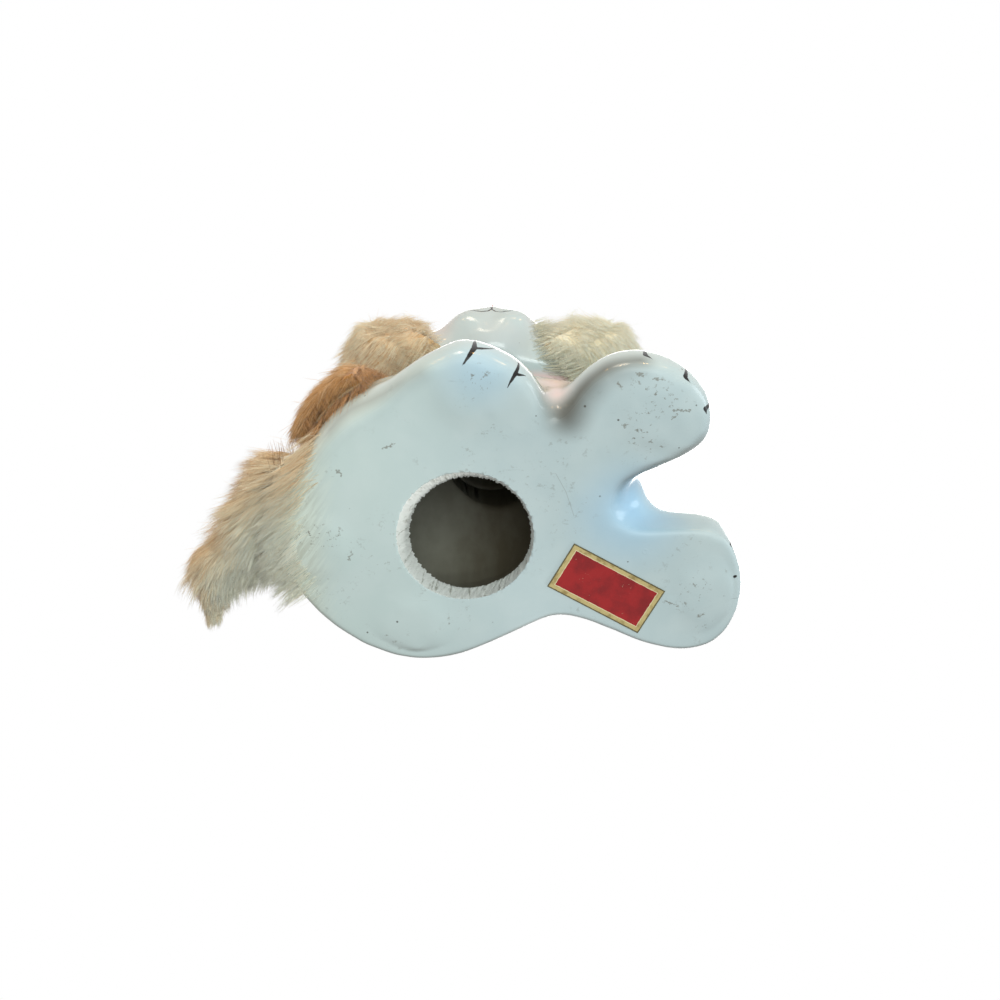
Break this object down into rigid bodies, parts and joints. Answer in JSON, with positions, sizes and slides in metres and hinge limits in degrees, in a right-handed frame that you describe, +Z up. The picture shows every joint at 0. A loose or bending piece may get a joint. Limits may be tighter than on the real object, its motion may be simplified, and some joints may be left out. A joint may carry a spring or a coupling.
{
  "type": "cat figurine",
  "caption": "Hollow white-glazed ceramic figurine of a reclining cat, with a drain hole in its base and fur strips glued to cheeks, back and tail.",
  "frame": {"origin": "centre of the bounding box on the table plane that the paws and the back of the base rest on", "axes": "+Z up; the cat's face looks along -Y; its forepaws reach towards +X and its tail lies towards -X"},
  "size_m": [0.1116, 0.0656, 0.0872],
  "materials": {
    "white_glaze": "glossy clear glaze over white slip, with small pits and specks",
    "tanned_hide": "matt suede backing of the fur strips",
    "cheek_fur": "long straight hair, tan to cream",
    "back_fur": "long straight hair, brown to tan",
    "tail_fur": "long soft hair, orange-tan with a cream underside",
    "foil_paper": "red foil paper with a gold border, bare"
  },
  "bodies": {
    "root": {"body_casting": "white_glaze", "head_casting": "white_glaze", "cheek_hide_left": "tanned_hide", "cheek_hide_right": "tanned_hide", "back_hide": "tanned_hide", "tail_hide": "tanned_hide", "cheek_fur_left": "cheek_fur", "cheek_fur_right": "cheek_fur", "back_fur": "back_fur", "tail_fur": "tail_fur", "foil_label": "foil_paper"}
  },
  "joints": []
}
